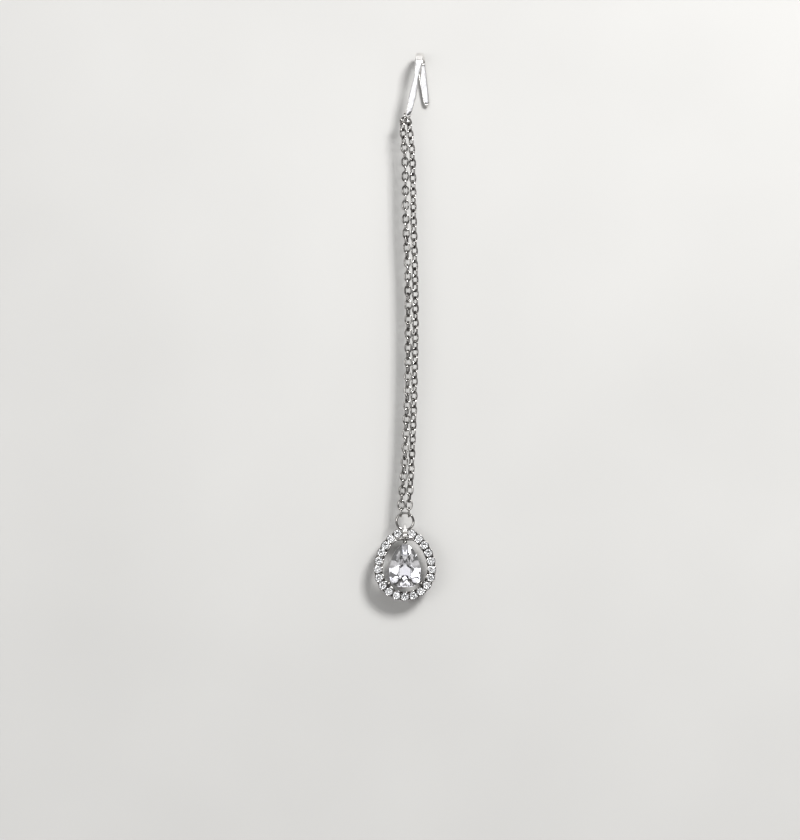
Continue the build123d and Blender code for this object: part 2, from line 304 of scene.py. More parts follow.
def zirconia(name, tint, shade, haze):
    """Cut and polished cubic zirconia: clear, with a high index, so its facets flash white and dark.

    A faint cast drifts through it, lilac in the pear and grey in the small rounds, and the last
    polish leaves a trace of haze.
    """
    material, tree, place = new_material(name)
    drift = node(tree, "ShaderNodeTexNoise", {"Scale": 1 / (TINT_DRIFT * MM), "Detail": 2.0},
                 Vector=(place, "Object"))
    colour = node(tree, "ShaderNodeValToRGB", ramp=[(0, shade), (1, tint)], i0=(drift, 0))
    polish = node(tree, "ShaderNodeMapRange", {"To Min": 0.0, "To Max": haze}, Value=(drift, 0))
    stone = node(tree, "ShaderNodeBsdfPrincipled", {"Transmission Weight": 1.0, "IOR": ZIRCONIA_IOR},
                 Base_Color=(colour, 0), Roughness=(polish, 0))
    node(tree, "ShaderNodeOutputMaterial", Surface=(stone, 0))
    return material


def paper(name, shade, tone):
    """Matt card, even and pale, faintly mottled, and clear where its back is seen."""
    material, tree, place = new_material(name)
    mottle = node(tree, "ShaderNodeTexNoise", {"Scale": 1 / (PAPER_MOTTLE * MM), "Detail": 2.0},
                  Vector=(place, "Object"))
    colour = node(tree, "ShaderNodeValToRGB", ramp=[(0, shade), (1, tone)], i0=(mottle, 0))
    card = node(tree, "ShaderNodeBsdfPrincipled", {"Roughness": 0.7}, Base_Color=(colour, 0))
    clear = node(tree, "ShaderNodeBsdfTransparent")
    sides = node(tree, "ShaderNodeNewGeometry")
    both = node(tree, "ShaderNodeMixShader", i0=(sides, "Backfacing"), i1=(card, 0), i2=(clear, 0))
    node(tree, "ShaderNodeOutputMaterial", Surface=(both, 0))
    return material


# Hammered and buffed: broad flats that catch the light almost white.
hook_silver = silver("rhodium_plate_hammered", "#F2F1EF", "#DDDBD8", 0.13, 2.2, 0.012, 0.12, 0.0006)
# Drawn through a die: thin bright lines along the wire on a mid grey, kept dark as painted shade for the
# shadow in and round the ring.
ring_silver = silver("rhodium_plate_drawn_wire_painted_shade", "#9E9C99", "#5B5957", 0.1, 1.1, 0.008, 0.10, 0.0005)
# Machine-made links: small sharp lights on random patches of mid and dark grey, the grey kept dark as painted
# shade for the contact shadow and dark reflections on the wires.
chain_silver = silver("rhodium_plate_cable_chain_painted_shade", "#A09E9B", "#4F4D4B", 0.06, 0.9, 0.006, 0.09, 0.0005)
# As cast and tumbled: a soft grey between the stones, kept dark as painted shade for the shadow that falls
# between them.
cast_silver = silver("rhodium_plate_cast_setting_painted_shade", "#9B9997", "#636160", 0.12, 0.7, 0.008, 0.08, 0.0008)
# Buffed by hand: as white as the hook.
lug_silver = silver("rhodium_plate_polished_lug", "#F2F1EF", "#D8D6D3", 0.1, 0.8, 0.005, 0.10, 0.0004)
# Painted shade: the beads are a dark grey that stands in for the shaded notches between the stones.
bead_silver = silver("rhodium_plate_beads_painted_shade", "#666462", "#3F3D3B", 0.12, 0.8, 0.005, 0.10, 0.0004)
# Cupped and polished: grey balls, dark below, with one small bright light each.
prong_silver = silver("rhodium_plate_ball_prongs", "#A8A6A3", "#4F4D4B", 0.08, 0.8, 0.005, 0.10, 0.0004)
halo_zirconia = zirconia("cubic_zirconia_small_rounds", "#E9E9E9", "#B7B7B8", 0.03)
pear_zirconia = zirconia("cubic_zirconia_pear", "#FFFFFF", "#ECEAF6", 0.02)

# ---- places from the frame -----------------------------------------------------------------------
# Lengths are in millimetres from here to the backdrop, and in metres for the lights and the camera.


def millimetres(vector):
    """A point of the frame, which holds metres."""
    return np.array(vector, float) / MM


joint_places = {joint["name"]: millimetres(joint["pos_m"]) for joint in frame["joints"]}
ring_middle = joint_places["pendant_sway"]
ring_low, ring_high = [millimetres(corner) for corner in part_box("jump_ring")]
halo_low = millimetres(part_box("halo_setting")[0])
chain_low = millimetres(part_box("chain_left")[0])

CHAIN_Y = ring_middle[1]

# ---- hair hook -----------------------------------------------------------------------------------

# Depth below the top of the strip's middle line, and the strip's width and thickness there.
BACK_LEG = np.array([
    (0.0, 1.9, 0.8), (1.3, 2.0, 0.8), (2.6, 1.95, 0.8), (4.2, 1.85, 0.8), (6.0, 1.75, 0.8),
    (8.0, 1.6, 0.76), (10.0, 1.4, 0.7), (11.5, 1.1, 0.6), (12.0, 0.8, 0.5)])
FRONT_LEG = np.array([
    (0.0, 1.9, 0.8), (1.3, 1.98, 0.8), (2.6, 1.75, 0.8), (3.5, 1.5, 0.8), (4.4, 1.18, 0.8),
    (5.3, 1.0, 0.8), (6.7, 1.26, 0.8), (8.6, 1.6, 0.8), (10.4, 1.66, 0.78), (12.0, 1.5, 0.74),
    (13.4, 1.34, 0.68), (14.4, 1.2, 0.6)])
BACK_DEPTH = BACK_LEG[-1, 0]
FRONT_DEPTH, FRONT_END_WIDTH = FRONT_LEG[-1, :2]
HOOK_GAP = 4.4
STRIP_THICK = 0.8
STRIP_TOP = STRIP_THICK / 2
BEND_RADIUS = (HOOK_GAP + STRIP_THICK) / 2
BACK_LEAN = 0.14
FRONT_LEAN = 0.14
FRONT_CURVE = 0.0035
STRIP_CORNER = 0.13
BEND_CORNER = 0.36
BEND_CORNER_DEPTHS = 4.0, 1.0
TIP_ROUNDING = 0.96

# Steps up the back leg, over the bend, down the front leg and round the eye.
BACK_STEPS, BEND_STEPS, FRONT_STEPS, EYE_STEPS = 40, 33, 64, 64
# Steps that shrink at the back leg's tip and at the eye's, and those before and after the eye's start
# over which the strip's side turns.
BACK_TIP_STEPS, EYE_TIP_STEPS = 3, 5
TURN_STEPS_BEFORE, TURN_STEPS_AFTER = 6, 10

EYE_RADIUS = 0.9
EYE_WIRE = 0.6
EYE_WRAP = radians(338)
EYE_DRAW_IN = radians(8), radians(38)
EYE_TURN = radians(30)
EYE_BACK = np.array([-np.sin(EYE_TURN), np.cos(EYE_TURN), 0])
EYE_ACROSS = np.array([np.cos(EYE_TURN), np.sin(EYE_TURN), 0])


def front_x(depth):
    """How far aside the front leg stands: minus the depth times the lean, less its square times the curve."""
    return -(FRONT_LEAN * depth + FRONT_CURVE * depth**2)


LEG_END = np.array([front_x(FRONT_DEPTH), -BEND_RADIUS, STRIP_TOP - FRONT_DEPTH])
EYE = LEG_END + EYE_BACK * EYE_RADIUS


def hook_strip():
    """The strip without its eye: its line, and its width and thickness along it.

    The line goes up the back leg, over the bend and down the front leg. The legs lean apart, and the
    bend is a half circle in Y and Z.
    """
    climb = np.linspace(BACK_DEPTH, BEND_RADIUS, BACK_STEPS)[:-1]
    turn = np.linspace(pi / 2, -pi / 2, BEND_STEPS)
    fall = np.linspace(BEND_RADIUS, FRONT_DEPTH, FRONT_STEPS)[1:]
    depth = np.concatenate([climb, BEND_RADIUS * (1 - np.cos(turn)), fall])
    y = BEND_RADIUS * np.concatenate([np.ones(len(climb)), np.sin(turn), -np.ones(len(fall))])
    is_front = y < 0
    x = np.where(is_front, front_x(depth), BACK_LEAN * depth)
    wide = np.where(is_front, through(FRONT_LEG, 1, depth), through(BACK_LEG, 1, depth))
    thick = np.where(is_front, through(FRONT_LEG, 2, depth), through(BACK_LEG, 2, depth))
    return np.stack([x, y, STRIP_TOP - depth], -1), wide, thick


def hair_hook():
    """The strip's rounded section carried along its line and on round the eye, in one piece.

    The eye is a circle in the plane of EYE_BACK and Z, of which the wire goes EYE_WRAP, and the strip
    draws in to round wire at its start. Over the last steps at both ends the section shrinks by
    sqrt(1 - TIP_ROUNDING s^2), where s goes up to 1 at the tip. The strip's side turns from X to
    EYE_ACROSS on its way into the eye.
    """
    strip, strip_wide, strip_thick = hook_strip()
    curl = np.linspace(0, EYE_WRAP, EYE_STEPS)[1:]
    eye = EYE - EYE_RADIUS * (np.cos(curl)[:, None] * EYE_BACK + np.sin(curl)[:, None] * [0, 0, 1])
    drawn_in = ramp(curl, *EYE_DRAW_IN)
    eye_wide = FRONT_END_WIDTH + (EYE_WIRE - FRONT_END_WIDTH) * drawn_in
    eye_corner = STRIP_CORNER + (EYE_WIRE / 2 - STRIP_CORNER) * drawn_in
    in_bend = ramp(STRIP_TOP - strip[:, 2], *BEND_CORNER_DEPTHS)
    strip_corner = STRIP_CORNER + (BEND_CORNER - STRIP_CORNER) * in_bend

    path = np.vstack([strip, eye])
    step = np.arange(len(path))
    last = len(path) - 1
    from_tip = np.minimum(ramp(step, 0, BACK_TIP_STEPS), ramp(step, last, last - EYE_TIP_STEPS))
    size = np.sqrt(1 - TIP_ROUNDING * (1 - from_tip) ** 2)
    wide = np.concatenate([strip_wide, eye_wide]) * size
    thick = np.concatenate([strip_thick, np.full(len(curl), EYE_WIRE)]) * size
    corner = np.concatenate([strip_corner, eye_corner]) * size
    corner = np.minimum(corner, np.minimum(wide, thick) / 2)

    eye_start = len(strip)
    into_eye = ramp(step, eye_start - TURN_STEPS_BEFORE, eye_start + TURN_STEPS_AFTER)[:, None]
    side = (1 - into_eye) * [1, 0, 0] + into_eye * EYE_ACROSS
    shape = outward(capped(swept(path, side, rounded_section(wide, thick, corner))))
    make("hair_hook_strip", shape, hook_silver, "hook_and_chains", ["hair_hook"])


# ---- chain ---------------------------------------------------------------------------------------

LINK_LENGTH = 2.58
LINK_WIDTH = 1.8
LINK_WIRE = 0.44
LINK_OVAL = 2.3
LINK_ARC = (LINK_WIDTH - LINK_WIRE) / 2
LINK_STRAIGHT = LINK_LENGTH - LINK_WIDTH
LINK_REACH = LINK_STRAIGHT / 2 + LINK_ARC
LINK_HANG = 0.04
LINK_CLEAR = 0.03
LINK_STEPS = 24
LINK_SIDES = 9

STRAND_SPACING = 1.81
STRAND_BOW = 1.3
STRAND_TOP = EYE[2] - 2.85
LAST_LINK_Z = chain_low[2] + LINK_LENGTH / 2
STRAND_FOOT = LAST_LINK_Z + 1.4
HANG_FADE = 7.0
TURN_SETTLE = 16.0
TURN_WOBBLE = radians(4)
FAST_WOBBLE, SLOW_WOBBLE = 2.4, 0.61
END_LINKS = 4.5

# Depth below the inside of the hook's bend, and how far the strand stands to the right of and behind an
# even curve there.
LEFT_WANDER = np.array([
    (15, 0, 0), (22, 0.22, 0), (30, 0.08, 0), (38, -0.1, 0.02), (50, 0.1, 0.05), (62, 0.22, 0.06),
    (82, 0.27, 0.06), (98, 0.17, 0.03), (104, 0, 0), (107, 0, 0)])
RIGHT_WANDER = np.array([
    (15, 0, 0), (22, 0.2, 0), (30, 0.06, -0.02), (38, -0.1, -0.05), (50, 0, -0.1), (62, 0.06, -0.12),
    (82, 0.04, -0.12), (98, 0.05, -0.05), (104, 0, 0), (107, 0, 0)])


def chain_link():
    """An oval link, round wire carried round its middle line, X across and Z along.

    At turn t the line stands across by |cos t| and along by |sin t|, both raised to 2 / LINK_OVAL.
    """
    t = np.linspace(0, 2 * pi, LINK_STEPS + 1)[:-1]
    across, along = [np.sign(w) * np.abs(w) ** (2 / LINK_OVAL) for w in (np.cos(t), np.sin(t))]
    path = np.stack([LINK_ARC * across, np.zeros(LINK_STEPS), LINK_REACH * along], -1)
    side = np.broadcast_to([0.0, 1.0, 0.0], path.shape)
    return outward(grid(swept(path, side, circle(LINK_SIDES, LINK_WIRE / 2), closed=True), close_rows=True))


def strand_line(way, links, hang, wander):
    """Middles of a strand's second to last links, at even heights from the second's top at hang.

    Centre x is a straight line plus bow 4 t (1 - t), where t goes from 0 to 1 down the strand, plus the
    strand's own wander, a smooth curve through its table. At the top both x and y are moved over to
    hang, and the move fades with the depth below it as exp(-depth / HANG_FADE).
    """
    last = np.array([ring_middle[0] + way * STRAND_SPACING / 2, CHAIN_Y, LAST_LINK_Z])
    z = np.linspace(hang[2] - LINK_REACH, last[2], links - 1)[:-1]
    t = ramp(z, STRAND_TOP, STRAND_FOOT)
    top_x = EYE[0] + way * STRAND_SPACING / 2
    x = top_x + (last[0] - top_x) * t + 4 * STRAND_BOW * t * (1 - t) + through(wander, 1, -z)
    y = CHAIN_Y + through(wander, 2, -z)
    fade = np.exp(-(z[0] - z) / HANG_FADE)
    x = x + (hang[0] - x[0]) * fade
    y = y + (hang[1] - y[0]) * fade
    return np.vstack([np.stack([x, y, z], -1), last])


def strand_turns(way, links, z, turn_mid, lag_mid):
    """How far the links between the first and the last are turned about the run, each a quarter on.

    The turn starts with the eye's and settles as 1 - exp(-depth / TURN_SETTLE) to turn_mid, where every
    other link lags by lag_mid. Two sine waves of the link's number wobble it, and over the lowest few
    links it runs out into the turn that the last link, which stands across the ring, asks for.
    """
    number = np.arange(2, links)
    is_even = (number + 1) % 2
    settled = 1 - np.exp(-(z[0] - z) / TURN_SETTLE)
    wobble = TURN_WOBBLE * (np.sin(FAST_WOBBLE * number + way) + np.sin(SLOW_WOBBLE * number))
    middle_turn = EYE_TURN + (turn_mid - EYE_TURN) * settled + lag_mid * is_even * settled + wobble
    end_turn = pi / 2 if links % 2 else 0.0
    above_end = ramp(z, LAST_LINK_Z, LAST_LINK_Z + END_LINKS * LINK_LENGTH)
    return pi / 2 * is_even + end_turn + (middle_turn - end_turn) * above_end


def strand_places(way, lean, links, rest, wander, turn_mid, lag_mid):
    """Middles and axes of a strand's links, of which way is -1 on the left and 1 on the right.

    The first leans out from the hook's eye, the last stands across the jump ring, and those between
    hang evenly. The second rests in the first one's lower arc: rest is how far aside, apart from the
    other strand and down its top stands from the arc's middle.
    """
    grip = EYE - [0, 0, EYE_RADIUS] - way * (LINK_WIRE / 2 + LINK_CLEAR) * EYE_BACK
    up = np.array([0, 0, np.cos(lean)]) - way * np.sin(lean) * EYE_ACROSS
    first_middle = grip - (LINK_HANG + LINK_STRAIGHT / 2) * up
    first_axes = [np.cross(EYE_BACK, up), EYE_BACK, up]

    aside, apart, down = rest
    low_arc = grip - (LINK_HANG + LINK_STRAIGHT) * up
    hang = low_arc + way * (aside * EYE_ACROSS - apart * EYE_BACK) - [0, 0, down]
    line = strand_line(way, links, hang, wander)

    run = -unit(np.gradient(np.vstack([hang, line]), axis=0)[1:-1])
    turn = strand_turns(way, links, line[:-1, 2], turn_mid, lag_mid)
    across = square_to(np.stack([np.cos(turn), np.sin(turn), np.zeros(len(turn))], -1), run)
    axes = np.stack([across, np.cross(run, across), run], 1)

    last_axes = [(0, 1, 0), (-1, 0, 0), (0, 0, 1)]
    return np.vstack([first_middle, line]), np.concatenate([[first_axes], axes, [last_axes]])


def chain_strand(name, node_name, *settings):
    """The strand's links in one piece."""
    make(name, repeated(chain_link(), *strand_places(*settings)), chain_silver, "hook_and_chains",
         [node_name])


# ---- jump ring -----------------------------------------------------------------------------------

RING_CUT = radians(52)
RING_CUT_GAP = 0.04
RING_END_SIZE = 0.86
RING_STEPS = 97
RING_SIDES = 20


def jump_ring():
    """Round wire carried round a circle in X and Z, cut once, its two ends eased and nearly meeting."""
    wire = ring_high[1] - ring_low[1]
    radius = (ring_high[0] - ring_low[0] - wire) / 2
    half_cut = RING_CUT_GAP / 2 / radius
    turn = np.linspace(RING_CUT + half_cut, RING_CUT + 2 * pi - half_cut, RING_STEPS)
    path = ring_middle + radius * np.stack([np.cos(turn), 0 * turn, np.sin(turn)], -1)
    size = np.ones(RING_STEPS)
    size[[0, -1]] = RING_END_SIZE
    section = circle(RING_SIDES, wire / 2) * size[:, None, None]
    side = np.broadcast_to([0.0, 1.0, 0.0], path.shape)
    make("jump_ring_wire", outward(capped(swept(path, side, section))), ring_silver, "ring",
         ["jump_ring"])


# ---- halo ----------------------------------------------------------------------------------------
# In its own frame the halo's zero is the centre of its lower half circle, Y through the metal.

HALO_RADIUS = 6.3
HALO_SIDE_RADIUS = 9.935
HALO_STONES = 21
HALO_STONE = 1.72
HALO_SPACING = 1.99
HALO_OUTER = 0.97
HALO_INNER = 1.2
HALO_THICK = 1.6
HALO_SETBACK = 0.32
HALO_FRONT = -HALO_THICK / 2
HALO_BACK = HALO_THICK / 2
SCALLOP = 0.26
INNER_SCALLOP = 0.14
VALLEY = 0.5
FRONT_INSET = 0.05
BACK_INSET = 0.22
END_BULGE = 0.9
CELL_SIDE = 12
# Radius and depth of the rings down a seat: its rim and cup, then the drilled hole and its mouth behind.
SEAT = [(0.9, HALO_FRONT), (0.875, HALO_FRONT + 0.03), (0.865, HALO_FRONT + 0.1), (0.6, -0.4),
        (0.42, -0.15), (0.42, HALO_BACK - 0.12), (0.52, HALO_BACK)]

WEB_TOP = 8.0
WEB_FOOT = 6.15
WEB_FOOT_ROUND = 0.6
WEB_HALF_WIDTH = 2.08
WEB_FLAT_HALF = 1.68
WEB_LEAST = 0.45
WEB_SEAT_RADIUS = 0.94
WEB_COLUMNS = 53
# Depth and inset of the corners along the web's top edge, from the back to the front.
WEB_EDGE = [(HALO_BACK, 0.2), (HALO_BACK - 0.2, 0.0), (HALO_FRONT + 0.25, 0.0), (HALO_FRONT + 0.15, 0.1)]

halo_middle = np.array([ring_middle[0], CHAIN_Y + HALO_SETBACK, halo_low[2] + HALO_RADIUS + HALO_OUTER])
stone_steps = np.arange(HALO_STONES) - (HALO_STONES - 1) / 2


def halo_line(distance, out):
    """A point on the stones' line at a distance from its lowest, moved outwards: two circles' arcs."""
    quarter = HALO_RADIUS * pi / 2
    run = np.abs(distance)
    low = run / HALO_RADIUS
    high = (run - quarter) / HALO_SIDE_RADIUS
    x_low, z_low = (HALO_RADIUS + out) * np.sin(low), -(HALO_RADIUS + out) * np.cos(low)
    x_high = (HALO_SIDE_RADIUS + out) * np.cos(high) - (HALO_SIDE_RADIUS - HALO_RADIUS)
    z_high = (HALO_SIDE_RADIUS + out) * np.sin(high)
    is_low = run <= quarter
    side = np.where(distance < 0, -1.0, 1.0)
    return side * np.where(is_low, x_low, x_high), np.where(is_low, z_low, z_high)


def cell_edge(distance, inset, end):
    """The edge of one stone's share of the halo: x, z and the run from its stone at each point.

    It has CELL_SIDE points on each side: up the near seam from the inner corner, along the outer edge,
    down the far seam and back along the inner edge. Both long edges are scalloped: they draw in by their
    depth times the square of the way to the seam. At an end of the halo (end 1 or -1) the seam there is
    a half oval round the stone.
    """
    half = HALO_SPACING / 2
    step = np.arange(CELL_SIDE) / CELL_SIDE
    low, high = -(HALO_INNER - inset), HALO_OUTER - inset
    seam_low, seam_high = low + INNER_SCALLOP, high - SCALLOP
    ahead = 0.0 if end > 0 else half
    behind = 0.0 if end < 0 else half
    middle, reach = (high + low) / 2, (high - low) / 2
    turn = pi / 2 * (1 - 2 * step)
    bulge = END_BULGE * reach * np.cos(turn)

    near_run, near_out = np.full(CELL_SIDE, -behind), seam_low + (seam_high - seam_low) * step
    if end < 0:
        near_run, near_out = -bulge, middle - reach * np.sin(turn)
    outer_run = -behind + (ahead + behind) * step
    outer_out = high - SCALLOP * (outer_run / half) ** 2
    far_run, far_out = np.full(CELL_SIDE, ahead), seam_high + (seam_low - seam_high) * step
    if end > 0:
        far_run, far_out = bulge, middle + reach * np.sin(turn)
    inner_run = ahead - (ahead + behind) * step
    inner_out = low + INNER_SCALLOP * (inner_run / half) ** 2

    run = np.concatenate([near_run, outer_run, far_run, inner_run])
    x, z = halo_line(distance + run, np.concatenate([near_out, outer_out, far_out, inner_out]))
    return x, z, run


def halo_cell(distance, end):
    """One stone's share of the metal: the front round its seat, the seat down to a drilled hole, the back.

    It is a grid of closed rings: the outer ones follow the cell's edge, the inner ones are circles about
    the stone, and each ring has its own depth. The front dips towards the seams between stones by
    VALLEY times the fourth power of the way to the seam.
    """
    middle_x, middle_z = halo_line(np.array(distance), np.array(0.0))
    face_x, face_z, run = cell_edge(distance, FRONT_INSET, end)
    back_x, back_z = cell_edge(distance, BACK_INSET, end)[:2]
    side_x, side_z = cell_edge(distance, 0.0, end)[:2]
    dip = VALLEY * ramp(np.abs(run), 0, HALO_SPACING / 2) ** 4
    angle = np.arctan2(face_z - middle_z, face_x - middle_x)
    rings = [(face_x, HALO_FRONT + dip, face_z)]
    for radius, y in SEAT:
        rings.append((middle_x + radius * np.cos(angle), y, middle_z + radius * np.sin(angle)))
    rings.append((back_x, HALO_BACK, back_z))
    rings.append((side_x, HALO_BACK - BACK_INSET, side_z))
    rings.append((side_x, HALO_FRONT + FRONT_INSET + dip, side_z))
    rows = [np.stack(np.broadcast_arrays(*ring), -1) for ring in rings]
    return outward(grid(np.stack(rows), close_rows=True))


def halo_web():
    """The metal between the two top stones, below the lug: columns across, each a closed ring of eight.

    Its top is flat at WEB_TOP and dips round the stones. Its foot is flat and rounds down by
    r - sqrt(r^2 - x^2) into the halo's inner wall.
    """
    x = np.linspace(-WEB_HALF_WIDTH, WEB_HALF_WIDTH, WEB_COLUMNS)
    stone_x, stone_z = halo_line(np.array(HALO_SPACING * stone_steps[-1]), np.array(0.0))
    seat = WEB_SEAT_RADIUS**2 - (np.abs(x) - stone_x) ** 2
    round_stone = np.where(seat > 0, stone_z - np.sqrt(np.maximum(seat, 0)), WEB_TOP)
    past_flat = np.maximum(np.abs(x) - WEB_FLAT_HALF, 0)
    low = WEB_FOOT + np.sqrt(WEB_FOOT_ROUND**2 - past_flat**2)
    high = np.maximum(np.minimum(WEB_TOP, round_stone), low + WEB_LEAST)
    top = [np.stack([x, np.full(len(x), y), high - inset], -1) for y, inset in WEB_EDGE]
    foot = [np.stack([x, np.full(len(x), y), low + inset], -1) for y, inset in WEB_EDGE[::-1]]
    return outward(capped(np.stack(top + foot, 1)))


# ---- lug, prongs and beads -----------------------------------------------------------------------

LUG_HOLE = 1.1
LUG_HOLE_HEIGHT = 9.05
LUG_TIP = 10.7
LUG_TIP_BLUNT = 0.04
LUG_BASE = WEB_TOP + 0.2
LUG_BASE_WIDTH = 1.35
LUG_TIP_WIDTH = 0.36
LUG_DEPTH = 1.96
LUG_SQUARE = 0.45
LUG_STEPS = 72
LUG_SIDES = 24
LUG_FOOT_CORNER = 0.18
# Height, width and depth of the foot's sections.
LUG_FOOT = np.array([
    (WEB_TOP - 0.7, 1.15, 1.3), (WEB_TOP - 0.1, 1.15, 1.4), (LUG_BASE, 1.13, 1.45),
    (WEB_TOP + 0.45, 1.0, 1.2)])


def lug():
    """A tapering loop: a section carried round the hole, drawn up to a point at the top.

    At each turn about the hole the outside stands at the loop's radius, or further near the top, where
    it follows the straight sides of the point. The section is as wide as the taper at that height,
    and is a circle squared by raising |cos t| and |sin t| to LUG_SQUARE.
    """
    turn = np.linspace(0, 2 * pi, LUG_STEPS + 1)[:-1]
    reach = LUG_DEPTH / 2
    peak = LUG_TIP - LUG_HOLE_HEIGHT
    tangent = np.arccos(reach / peak)
    from_top = np.abs((turn + pi) % (2 * pi) - pi)
    outer = np.where(from_top < tangent, reach / np.cos(tangent - from_top), reach)
    outer = np.minimum(outer, peak - LUG_TIP_BLUNT)
    inner = LUG_HOLE / 2
    round_section = circle(LUG_SIDES)
    square = np.sign(round_section) * np.abs(round_section) ** LUG_SQUARE
    ring = (inner + outer)[:, None] / 2 + (outer - inner)[:, None] / 2 * square[:, 0]
    y, z = ring * np.sin(turn)[:, None], ring * np.cos(turn)[:, None]
    climb = ramp(z + LUG_HOLE_HEIGHT, LUG_BASE, LUG_TIP)
    half = (LUG_BASE_WIDTH + (LUG_TIP_WIDTH - LUG_BASE_WIDTH) * climb) / 2
    loop = outward(grid(np.stack([half * square[:, 1], y, z], -1), close_rows=True))
    return placed(loop, [0, -HALO_SETBACK, LUG_HOLE_HEIGHT])


PRONG_RADIUS = 0.34
PRONG_BALL = 0.5
PRONG_BALL_Y = -1.45
PRONG_BALL_WRAP = 2.35
PRONG_NECK = 0.45
PRONG_BACK = HALO_BACK - 0.25
PRONG_BACK_CHAMFER = 0.08, 0.1
PRONG_PLACES = [(0.0, 6.4), (3.78, -3.18), (-3.78, -3.18)]
PRONG_BALL_ROWS = 14
PRONG_SIDES = 28
BAR_CORNER = 0.1
BAR_DEPTH = 1.35
BAR_Y = -0.3
# Height, width and depth of the bar's sections.
BAR = np.array([
    (6.3, 0.4, BAR_DEPTH), (6.6, 0.34, BAR_DEPTH), (7.2, 0.34, BAR_DEPTH), (7.7, 0.38, BAR_DEPTH),
    (8.05, 0.5, BAR_DEPTH)])


def prong():
    """A post turned about Y, swelling into a ball at its front end, the edge of its back end taken off."""
    t = np.linspace(0.0, PRONG_BALL_WRAP, PRONG_BALL_ROWS + 1)[1:]
    ball = np.stack([PRONG_BALL * np.sin(t), PRONG_BALL_Y - PRONG_BALL * np.cos(t)], -1)
    length, depth = PRONG_BACK_CHAMFER
    post = [(PRONG_RADIUS, PRONG_BALL_Y + PRONG_NECK), (PRONG_RADIUS, PRONG_BACK - length),
            (PRONG_RADIUS - depth, PRONG_BACK)]
    return turned(np.vstack([ball, post]), PRONG_SIDES)


BEAD_SIZE = np.array([0.2, 0.24, 0.2])
BEAD_SINK = 0.02
BEAD_OUTER, BEAD_INNER, BEAD_END = 0.6, -0.62, -0.75
BEAD_END_RUN = 0.3
BEAD_ROWS = 7
BEAD_SIDES = 12


def beads():
    """Small beads raised from the metal between neighbouring stones, one inside and one outside the line.

    Each is an egg: radius sin t at height cos t, turned about Y and stretched. The halo has one more at
    each end.
    """
    t = np.linspace(0, pi, BEAD_ROWS + 2)[1:-1]
    bead = turned(np.stack([np.sin(t), np.cos(t)], -1), BEAD_SIDES)
    seams = HALO_SPACING * (np.arange(HALO_STONES + 1) - HALO_STONES / 2)
    between = seams[1:-1]
    run = np.concatenate([between, between, [seams[0] + BEAD_END_RUN, seams[-1] - BEAD_END_RUN]])
    out = np.repeat([BEAD_OUTER, BEAD_INNER, BEAD_END], [len(between), len(between), 2])
    x, z = halo_line(run, out)
    origins = np.stack([x, np.full(len(x), HALO_FRONT - BEAD_SINK), z], -1)
    return repeated(bead, origins, np.broadcast_to(np.diag(BEAD_SIZE), (len(x), 3, 3)))


def halo_setting():
    """The pendant's metal: frame, beads, lug and prongs, all riding together."""
    ends = [-1] + [0] * (HALO_STONES - 2) + [1]
    cells = [halo_cell(HALO_SPACING * step, end) for step, end in zip(stone_steps, ends)]
    posts = [placed(prong(), [x, 0, z]) for x, z in PRONG_PLACES]
    make("halo_frame", placed(joined(*cells, halo_web()), halo_middle), cast_silver, "pendant",
         ["halo_setting"])
    make("halo_beads", placed(beads(), halo_middle), bead_silver, "pendant")
    foot = stacked(LUG_FOOT, LUG_FOOT_CORNER, -HALO_SETBACK)
    make("halo_lug", placed(joined(lug(), foot), halo_middle), lug_silver, "pendant")
    bar = stacked(BAR, BAR_CORNER, BAR_Y)
    make("ball_prongs", placed(joined(*posts, bar), halo_middle), prong_silver, "pendant")


# ---- stones --------------------------------------------------------------------------------------

STAR_SWELL = 0.82
LOWER_SWELL = 1.03


